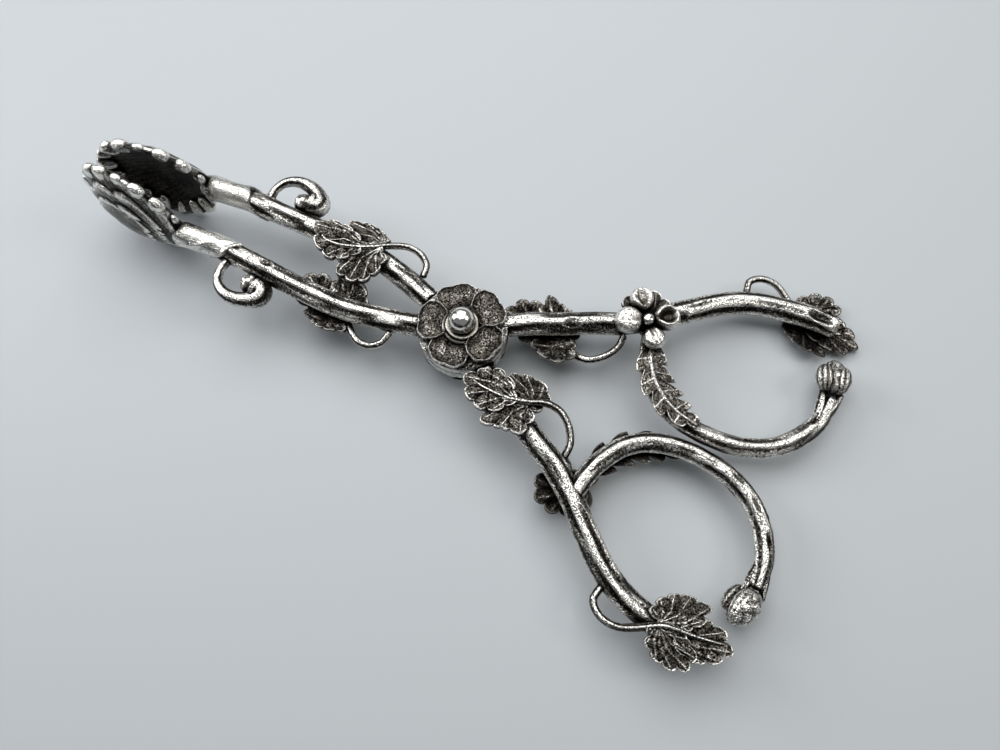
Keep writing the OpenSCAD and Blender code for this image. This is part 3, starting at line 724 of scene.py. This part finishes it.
HANDLE_BLADES = [
    ((15.6, -5.6), (17.2, -7.3), -0.25, [
        (11.4, -4.1), (14.2, -2.6), (17.9, -2.4), (20, -4.9), (18.9, -8), (15, -8.4),
        (12, -6.8)]),
    ((14.3, -10.2), (16.8, -7.9), -0.2, [
        (10.5, -13.8), (14.4, -13.3), (18.2, -12.8), (18.9, -9.2), (16, -7.4), (12.2, -8.2),
        (9.9, -11)]),
    ((9.8, -8.1), (14.6, -8.2), 0.18, [
        (4.4, -8.1), (7.2, -5.4), (9.8, -4.1), (12.9, -5.2), (15, -8.2), (12.4, -11.4),
        (9.2, -12.1), (6.2, -10.9)])]
END_BLADES = [
    ((52.9, -27.4), (50.8, -30.2), 0.12, [
        (57.8, -24.2), (54.1, -23.9), (51.2, -25), (49.2, -27), (48.5, -29.2), (51.4, -31.2),
        (55, -29.6), (57.4, -26.8)]),
    ((53.6, -32.2), (51, -30.6), 0.0, [
        (57.7, -34.9), (55.2, -36), (52.2, -35.6), (49.8, -33.9), (49.2, -31.8), (51.6, -29.8),
        (55.6, -30.4), (58.2, -32.6)]),
    ((57, -29.8), (52.2, -30), -0.15, [
        (63, -29.2), (60.9, -26.6), (57.6, -26.2), (54, -27.4), (52, -30), (54.4, -32.6),
        (58.6, -33.1), (61.4, -31.7)])]
TOP = SEAT + 0.9
FRONT_STALK = [
    [-32.6, 5.2, TOP - 0.5], [-30.3, 3.7, TOP - 0.1], [-27, 3.9, TOP + 0.1],
    [-23.5, 5.2, TOP + 0.15], [-21.2, 6.5, TOP], [-18.8, 8.5, 2.2], [-16.4, 9.8, 1.4],
    [-14, 9.8, 0.7], [-12.2, 8.5, 0.2], [-11.7, 6.4, 0]]
HANDLE_STALK = [
    [5.6, -7.8, TOP - 0.5], [8.9, -8.5, TOP], [12.8, -8.4, TOP + 0.15], [16.3, -7.5, TOP + 0.1],
    [19.3, -6.1, 2.7], [22.2, -6.1, 2], [24.6, -7.7, 1.1], [26, -10, 0.4], [26.1, -12.3, 0]]
END_STALK = [
    [61, -28.7, TOP - 0.65], [57, -29.5, TOP - 0.35], [53.2, -30, TOP - 0.1],
    [51, -30.6, TOP - 0.15], [48.4, -32.2, 2], [45.4, -33.6, 1], [42.4, -33.4, 0.4],
    [40.4, -31.6, 0], [40.6, -29.3, 0]]
LEAVES = {
    "front_leaf": (FRONT_BLADES, over_branch((-26.6, 5.9), 0.03), FRONT_STALK, LEAF_T),
    "handle_leaf": (HANDLE_BLADES, over_branch((12.6, -8.2), math.radians(-29)), HANDLE_STALK,
                    LEAF_T),
    "end_leaf": (END_BLADES, over_branch((56.6, -30.9), math.radians(-4)), END_STALK, END_LEAF_T)}
UPPER_END_SHIFT = np.array([2.0, -1.1, 0.0])
print("blades of each leaf:", {name: len(parts[0]) for name, parts in LEAVES.items()})

# %% Dress the leaves
for half in HALVES:
    for name, (blades, ground, stem_points, thick) in LEAVES.items():
        grids = [blade(centre, tips, root, ground, lift, thick=thick)
                 for centre, root, lift, tips in blades]
        grids.append(stalk(stem_points))
        if name == "end_leaf" and half == "upper":
            grids = [(points + UPPER_END_SHIFT, worn) for points, worn in grids]
        make_piece(name, half, "leaf", "chased", "stippled_silver", *grids)
print("leaves dressed:", len(LEAVES), "on each half")

# %% [markdown]
# ## Finger bows
# A thinner branch swings round to close the ring. Its bark has small oval pits on the outer
# side. At the end it forks, and the fork holds a large scaly bud with two small ribbed ones
# against its flower side. The buds could be balls with a texture, but their ribs and scales show
# in the outline, so they are turned bodies whose skin is moved by a formula.

# %% Bow and fork
BOW_R = 1.7
BOW = [[30.2, 17], [30.8, 13.6], [31.9, 10.3], [34.4, 6.3], [38, 3.6], [42.6, 2.2], [47.5, 2],
       [52.5, 2.9], [57, 5.1], [60.4, 8.6], [62.6, 13], [63.3, 18.2]]
BOW_TIP = [[62.6, 13, 0, 1.6], [63.2, 17.6, 0, 1.25]]
PITS, PIT_LENGTH, PIT_WIDTH = ((33, -1.9), (38, -1.75), (44, -1.9), (46.5, 1.2)), 1.5, 0.55
PRONG_ASIDE, PRONG_UP = (-1.7, 1.6), 0.2


def bow_relief(s, a, path):
    """Bark of the bow with a row of oval pits, each at a length and an angle."""
    offset, worn = bark(23, 0.24)(s, a, path)
    for ks, ka in PITS:
        turn = angle_off(a, ka) * path[:, 3:4]
        d = np.sqrt(((s - ks) / PIT_LENGTH) ** 2 + (turn / PIT_WIDTH) ** 2)
        offset = offset - 0.35 * np.exp(-d ** 4) + 0.1 * bell(d - 1.25, 0.25)
        worn = worn - 0.6 * np.exp(-d ** 4) + 0.3 * bell(d - 1.25, 0.25)
    return offset, worn + 0.08


def prong(aside):
    """One arm of the fork that holds the bud."""
    z = PRONG_UP
    line = [[62.3, 12.4, z * 0.4, 0.95], [62.9 + aside * 0.5, 15.6, z * 0.7, 0.95],
            [63 + aside, 19.2, z, 0.5]]
    return tube(line, bark(29, 0.1), around=28, per=10)


print("pits on each bow:", len(PITS), "and prongs:", len(PRONG_ASIDE))

# %% Buds, and dress the bows
BUD_CLEFT, BUD_LEAN = math.pi / 2, math.radians(16)
BUD_FOOT = np.array([63.2, 18.6, 0.0])
BUD_AXIS = (-math.sin(BUD_LEAN), math.cos(BUD_LEAN), 0)
BUD_PROFILE = [[0.1, 0, 0.3], [1.3, 0.1, 0.3], [2.1, 1.05, 0.4], [2.6, 2.6, 0.4], [2.35, 4.3, 0.4],
               [1.6, 5.8, 0.4], [0.5, 6.6, 0.5], [0.05, 6.65, 0.5]]
TWIN_R, TWIN_HALF = 1.55, 2.5


def bud_skin(r, h, a, worn):
    """Large bud: ribs = even waves and a deep cleft on the flower side, scales = two crossing
    slanted waves on the leaf side."""
    cleft = bell(angle_off(a, BUD_CLEFT), 0.28)
    flower = np.clip(np.cos(a - BUD_CLEFT) * 2, 0, 1)
    ribs = 0.5 + 0.5 * np.cos(16 * a)
    scales = np.abs(np.sin(3 * a + h * 1.4)) * np.abs(np.sin(3 * a - h * 1.4))
    body = np.clip(r / 2.6, 0, 1)
    skin = flower * 0.14 * ribs + (1 - flower) * 0.22 * scales - 0.75 * cleft
    shine = flower * 0.4 * ribs + (1 - flower) * 0.5 * scales - 0.45 * cleft
    return r + body * (skin - 0.15), h, worn + shine


def twin_ribs(r, h, a, worn):
    """Nine ribs from foot to tip of a small bud."""
    rib = np.cos(9 * a)
    return r * (1 + 0.05 * rib), h, worn + 0.25 * rib * np.clip(r / 1.4, 0, 1)


def twin(side):
    """One of the two small buds: side is -1 or 1, across the axis of the large bud."""
    across = np.array([math.cos(BUD_LEAN), math.sin(BUD_LEAN), 0.0])
    foot = BUD_FOOT + across * (1.3 * side - 0.45) + np.array([0.0, 0.2, 1.35])
    profile = [[TWIN_R * math.sin(t), TWIN_HALF - TWIN_HALF * math.cos(t), 0.45]
               for t in POLE_TO_POLE]
    return lathe(profile, foot, (BUD_AXIS[0] + 0.07 * side, BUD_AXIS[1], 0.0), around=72, per=5,
                 relief=twin_ribs)


for half in HALVES:
    ring = [[x, y, 0, BOW_R] for x, y in BOW[:-2]] + BOW_TIP
    make_piece("finger_bow", half, "flower", "bark", "bark_silver",
               tube(ring, bow_relief, around=52, per=24), *map(prong, PRONG_ASIDE))
    make_piece("bow_bud", half, "flower", "chased", "bark_silver",
               lathe(BUD_PROFILE, BUD_FOOT, BUD_AXIS, around=96, relief=bud_skin), twin(-1), twin(1))
print("bows dressed, with two small buds on each large one")

# %% [markdown]
# ## The toothed leaf on the bow
# It is long and narrow, with a strong midrib and round teeth on both edges that point forwards,
# each with a side vein. The blade function looks out from one centre, which would squeeze so long
# a leaf. So this one is a strip along a curve, and its edge is a saw of round teeth.

# %% Bow leaf
BOW_RIB = [[31.1, 12.6], [31.4, 11.6], [32.4, 9.2], [34.4, 6.4], [37, 4.3], [40, 2.9], [43.8, 2.2]]
BOW_LEAF_LEFT, BOW_LEAF_RIGHT, BOW_DROOP = 3.5, 2.9, 0.07
TEETH = 4.6


def over_bow(x, y):
    """Ground over the bow: the bow's top, falling off with the distance from its line."""
    line = smooth(BOW, 6)
    d2 = ((x[..., None] - line[:, 0]) ** 2 + (y[..., None] - line[:, 1]) ** 2).min(-1)
    return BOW_R + FACE_GAP - BOW_DROOP * d2


def toothed_leaf(rib, left, right):
    """Long leaf along a curve, with its greatest width to the left and to the right of it. t runs
    across from -1 to 1, and the edge goes forwards as it goes out, so that the teeth point to the
    tip. Width = hump of the leaf * saw of round teeth."""
    line = smooth(rib, 44)
    step = np.concatenate([[0], np.cumsum(np.linalg.norm(np.diff(line, axis=0), axis=1))])
    f = (step / step[-1])[:, None]
    along = np.gradient(line, axis=0)
    along /= np.linalg.norm(along, axis=1)[:, None]
    side = np.stack([-along[:, 1], along[:, 0]], axis=1)
    across = np.linspace(-1, 1, 33)
    t = np.concatenate([across, across[::-1][1:-1]])[None, :]
    upper = (np.arange(t.shape[1]) < len(across))[None, :]
    phase = (f * TEETH + 0.15 * np.sign(t)) % 1.0
    tooth = np.sin(np.pi / 2 * np.clip(phase / 0.72, 0, 1))
    saw = 0.5 + 0.5 * tooth * np.clip((1 - phase) / 0.12, 0, 1) ** 0.5
    hump = np.clip(np.sin(np.pi * np.clip(0.17 + 0.8 * f, 0, 1)), 0, 1) ** 0.55
    width = np.where(t < 0, right, left) * hump * saw
    lean = 0.55 * np.abs(t) ** 1.3 * hump
    x = line[:, 0:1] + t * width * side[:, 0:1] + lean * width * 0.8 * along[:, 0:1]
    y = line[:, 1:2] + t * width * side[:, 1:2] + lean * width * 0.8 * along[:, 1:2]
    inset = (1 - np.abs(t)) * width
    rolled = bell(inset - 0.16, RIM_WIDTH)
    middle = bell(t * width, 0.3)
    veins = bell((phase - 0.5 - 0.12 * (1 - np.abs(t))) * step[-1] / TEETH, 0.2) * (1 - middle)
    veins = veins * np.clip(inset / 0.4, 0, 1)
    wrinkle = noise(x / 0.5, y / 0.5, 43)
    thick = (0.62 + 0.2 * rolled + 0.34 * middle + 0.16 * veins
             - 0.22 * np.clip(inset / 1.2, 0, 1) + 0.04 * wrinkle)
    z = over_bow(x, y) + np.where(upper, thick, 0.05)
    worn = 0.3 + 0.5 * rolled + 0.6 * middle + 0.42 * veins + 0.1 * wrinkle
    return np.stack([x, y, z], axis=-1), np.where(upper, worn, 0.3)


for half in HALVES:
    make_piece("bow_leaf", half, "flower", "chased", "stippled_silver",
               toothed_leaf(BOW_RIB, BOW_LEAF_LEFT, BOW_LEAF_RIGHT))
print("bow leaves dressed:", round(TEETH), "teeth on each edge")

# %% [markdown]
# ## The blossoms
# Where the bow leaves the handle sits a blossom: four fleshy petals stand round a bead on a
# stem, two of them full and two hollow like cups. Under them lies a leafy base with eight tips.
# Flat petals would look thin from the side, so each is a turned cushion that is then bent away
# from the bead.

# %% Blossom
BLOSSOM, BLOSSOM_LINE = np.array([28.4, 16.6]), (28.6, 16.9)
BEAD = (28.8, 14.9, 3.2)
BEAD_PROFILE = [[0.05, 0, 0.2], [0.45, 0.1, 0.3], [0.45, 1.4, 0.4], [0.95, 1.75, 0.9],
                [1.0, 2.3, 1.0], [0.7, 2.85, 1.0], [0.03, 3.05, 1.0]]
PETAL_FOOT = 2.7
DOMES = [(25.9, 13.6, 2.4, 6.2, 0.0), (31.5, 17.0, 2.3, 6.0, 0.75), (26.3, 18.3, 2.1, 5.7, 0.35),
         (31.0, 12.8, 1.95, 5.3, 0.0)]
SEPALS = [(60, 4.8), (95, 5.4), (130, 5.8), (168, 5.4), (205, 5.0), (245, 4.4), (290, 3.4), (25, 4.8)]


def dome_petal(x, y, r, top, hollow):
    """Fleshy petal: a cushion of radius r at x, y that leans away from the bead. hollow 0 is a
    full dome, towards 1 it opens like a cup with a thick lip. A cleft points to the bead, and
    thin lines run up the sides."""
    h = top - PETAL_FOOT
    crown = h * (1 - 0.55 * hollow)
    inside = 0.68 - 0.45 * hollow
    profile = [[0.1, 0, 0.1], [r * 0.5, 0.03, 0.12], [r * 0.88, h * 0.2, 0.3], [r, h * 0.48, 0.62],
               [r * 0.94, h * 0.74, 0.76], [r * 0.74, h * 0.93, 0.76],
               [r * 0.5, h * (0.98 - 0.25 * hollow), inside],
               [r * 0.24, crown, inside], [0.02, crown, inside]]
    away = np.array([x - BEAD[0], y - BEAD[1]]) / math.hypot(x - BEAD[0], y - BEAD[1])
    points, worn = lathe(profile, (0, 0, 0), around=72, per=7)
    inward = -(points[..., 0] * away[0] + points[..., 1] * away[1]) / r
    aside = (points[..., 1] * away[0] - points[..., 0] * away[1]) / r
    rise = np.clip(points[..., 2] / h, 0, 1)
    cleft = bell(aside, 0.22) * np.clip(inward, 0, 1) * rise
    lines = np.cos(aside * 15) * rise * 0.5
    outward = 0.35 * rise * np.clip(1 - inward, 0, 1) - 0.3 * cleft
    points[..., 2] += -0.55 * cleft + 0.05 * lines - 0.5 * np.clip(-inward, 0, 1) ** 2 * rise
    points[..., :2] += outward[..., None] * away
    return points + [x, y, PETAL_FOOT], worn - 0.5 * cleft + 0.12 * lines


for half in HALVES:
    base_tips = [tuple(BLOSSOM + reach * np.array([math.cos(t), math.sin(t)]))
                 for t, reach in ((math.radians(d), reach) for d, reach in SEPALS)]
    base = blade(tuple(BLOSSOM), base_tips, tuple(BLOSSOM),
                 over_branch(BLOSSOM_LINE, math.radians(37)))
    make_piece("blossom", half, "flower", "shell", "stippled_silver",
               *[dome_petal(*place) for place in DOMES], base)
    make_piece("blossom_bead", half, "flower", "polished", "polished_silver",
               lathe(BEAD_PROFILE, BEAD))
print("blossoms dressed:", len(DOMES), "petals each")

# %% [markdown]
# ## The pivot
# A rosette hides each round plate. Its petals are broad, with a rolled edge, and lie over each
# other, so each is a blade at its own lift. A turned collar and a polished ball end the pin on
# both sides. These two are made on a lathe in silver too, so a profile is all that they need.

# %% Rosettes
ROSETTE_SEAT = FACE_GAP * 1.5 + PLATE_T
PETALS = [(-88, -0.35), (128, -0.15), (200, 0.1), (-16, 0.3), (56, 0.55)]
PETAL_EDGE = [(7.8, 0.04), (8.05, 0.28), (7.3, 0.52), (5.7, 0.66), (3.8, 0.66), (2.5, 0),
              (3.8, -0.66), (5.7, -0.66), (7.3, -0.52), (8.05, -0.28)]


def rosette_petal(direction, lift):
    """Broad petal from the collar to the edge: it rises, bends down at the end, and has a rolled
    rim, a fold down the middle and sides that curl up a little. direction is in degrees. The
    points of PETAL_EDGE are a reach from the pin and an angle from that direction."""
    t = math.radians(direction)

    def at(reach, turn):
        """Point at a reach from the pin, turned away from the middle of the petal."""
        return reach * math.cos(t + turn), reach * math.sin(t + turn)

    def bed(x, y):
        """Height under the petal at x, y."""
        r = np.hypot(x, y)
        aside = x * math.sin(t) - y * math.cos(t)
        rise = 0.95 * np.clip((r - 2.2) / 2.6, 0, 1) ** 0.7
        rise = rise - 0.75 * np.clip((r - 5.6) / 2.9, 0, 1) ** 1.6
        return (ROSETTE_SEAT - 0.3 + rise + 0.045 * aside ** 2 - 0.05 * bell(aside, 0.3)
                + 0.05 * np.cos(aside * 5) * np.clip((r - 4) / 3, 0, 1))
    tips = [at(reach, turn) for reach, turn in PETAL_EDGE]
    return blade(at(5.3, 0), tips, at(2.5, 0), bed, lift, thick=0.62, rim=0.42, bulge=0.0, dome=0.1,
                 vein=0.0, fringe=0.45, rings=34, notch=0.03, shade=0.0)


print("petals on each rosette:", len(PETALS))

# %% Collars, balls and pin, and dress the pivot
ROSETTE_FOOT, COLLAR_H, BALL_R, BALL_SUNK, PIN_R = 0.45, 1.1, 2.4, 1.0, 2.0
COLLAR_SEAT = ROSETTE_SEAT + ROSETTE_FOOT + FACE_GAP
BALL_Z = COLLAR_SEAT + COLLAR_H + BALL_R - BALL_SUNK
collar_profile = [[2.1, 0, 0.1], [3.0, 0, 0.1], [3.5, 0.12, 0.3], [3.7, 0.36, 0.62],
                  [3.5, 0.6, 0.4], [3.15, 0.7, 0.1], [3.02, 0.84, 0.2], [2.8, 1.04, 0.6],
                  [2.1, COLLAR_H, 0.3]]
ball_profile = [[BALL_R * math.sin(t), -BALL_R * math.cos(t), 0.3 + 0.6 * min(1, t)]
                for t in np.linspace(0.9, math.pi - 0.02, 16)]


def hammered(r, h, a, worn):
    """Ball polished by hand: very slight flats."""
    dent = 0.012 * noise(3 * np.cos(a) + 0 * h, h * 1.7 + 2 * np.sin(a), 31)
    return r * (1 + dent), h * (1 + dent), worn


for half in HALVES:
    make_piece("rosette", half, "flower", "chased", "stippled_silver",
               *[rosette_petal(*petal) for petal in PETALS])
    parts = {"collar": lathe(collar_profile, (0, 0, COLLAR_SEAT), per=6)}
    if half == "upper":
        parts["pivot_finial"] = lathe(ball_profile, (0, 0, BALL_Z), relief=hammered, per=4)
    else:
        shaft = [[0.02, -COLLAR_SEAT, 0.3], [PIN_R, -COLLAR_SEAT, 0.3], [PIN_R, 0, 0.3]]
        parts["pivot_pin"] = lathe(shaft + [[r, h + BALL_Z, w] for r, h, w in ball_profile],
                                   (0, 0, 0), relief=hammered, per=4)
    for name, grid in parts.items():
        make_piece(name, half, "flower", "polished", "polished_silver", grid, body="lower_half")
print("pivot dressed: the balls stand", round(BALL_Z + BALL_R, 2), "mm from the plane")

# %% [markdown]
# ## Table and light
# The nippers lie on a plain pale surface. A large soft lamp hangs above and behind them, and two
# smaller ones give the sides a bright edge. One even light would leave the silver flat, because
# metal shows only what is around it. So dark cards stand round the set, as a photographer would
# put them, hidden from the camera: they give the metal its grey and black streaks.

# %% Table, lamps and cards
TABLE_HALF, LAMP_AIM = 1.2, np.array([0.0, 0.0, 0.005])
CARDS = [((-0.3, -0.34), (0.34, -0.34), 0.2), ((0.36, -0.3), (0.36, 0.26), 0.17),
         ((-0.36, 0.26), (-0.36, -0.3), 0.12)]
CARD_FOOT = 0.02


def plain(name, code, rough):
    """Plain matt surface for the table and the cards."""
    material = bpy.data.materials.new(name)
    material.use_nodes = True
    shader = material.node_tree.nodes["Principled BSDF"]
    shader.inputs["Base Color"].default_value = linear(code)
    shader.inputs["Roughness"].default_value = rough
    return material


def sheet(name, corners, material):
    """Flat four-cornered surface that belongs to the set, not to the nippers."""
    mesh = bpy.data.meshes.new(name)
    mesh.from_pydata(corners, [], [(0, 1, 2, 3)])
    mesh.materials.append(material)
    thing = bpy.data.objects.new(name, mesh)
    bpy.context.scene.collection.objects.link(thing)


def lamp(name, place, size, power, tint="ffffff"):
    """Square lamp that faces the nippers: place and size in metres, power in watts."""
    light = bpy.data.lights.new(name, "AREA")
    light.size = size
    light.energy = power
    light.color = linear(tint)[:3]
    thing = bpy.data.objects.new(name, light)
    toward = LAMP_AIM - np.array(place)
    z = -toward / np.linalg.norm(toward)
    x = np.cross([0.0, 0.02, 1.0], z)
    x /= np.linalg.norm(x)
    pose = np.eye(4)
    pose[:3, :3] = np.stack([x, np.cross(z, x), z], axis=1)
    pose[:3, 3] = place
    thing.matrix_world = Matrix(pose.tolist())
    bpy.context.scene.collection.objects.link(thing)


sheet("table", [(x * TABLE_HALF, y * TABLE_HALF, 0) for x, y in ((-1, -1), (1, -1), (1, 1), (-1, 1))],
      plain("pale grey table", "b7bcbf", 0.6))
lamp("top", (-0.08, 0.18, 0.4), 0.5, 2.15)
lamp("left", (-0.42, -0.04, 0.26), 0.24, 1.1, "fafbff")
lamp("right", (0.34, 0.16, 0.32), 0.14, 0.4, "fffaf4")

dark = plain("black card", "0c0c0c", 0.9)
tree = dark.node_tree
hidden = add_node(tree, "ShaderNodeMixShader", inputs={
    0: add_node(tree, "ShaderNodeLightPath", output="Is Camera Ray"),
    1: tree.nodes["Principled BSDF"].outputs["BSDF"],
    2: add_node(tree, "ShaderNodeBsdfTransparent")})
tree.links.new(hidden, tree.nodes["Material Output"].inputs["Surface"])
for i, ((ax, ay), (bx, by), high) in enumerate(CARDS):
    sheet(f"card_{i}", [(ax, ay, CARD_FOOT), (bx, by, CARD_FOOT), (bx, by, high), (ax, ay, high)], dark)

print("lamps: 3, cards:", len(CARDS))

# %% [markdown]
# ## The room
# The picture's background is the pale table and the room behind it. The room is dimmer for the metal
# than for the camera, so that the silver keeps its dark look.

# %% World and finish
world = bpy.data.worlds.new("studio")
world.use_nodes = True
bpy.context.scene.world = world
sky = world.node_tree
strength = add_node(sky, "ShaderNodeMapRange", inputs={
    "Value": add_node(sky, "ShaderNodeLightPath", output="Is Camera Ray"),
    "To Min": 0.28, "To Max": 0.9})
sky.nodes["Background"].inputs["Color"].default_value = linear("cccfd1")
sky.links.new(strength, sky.nodes["Background"].inputs["Strength"])
bpy.context.scene.view_settings.view_transform = "Standard"
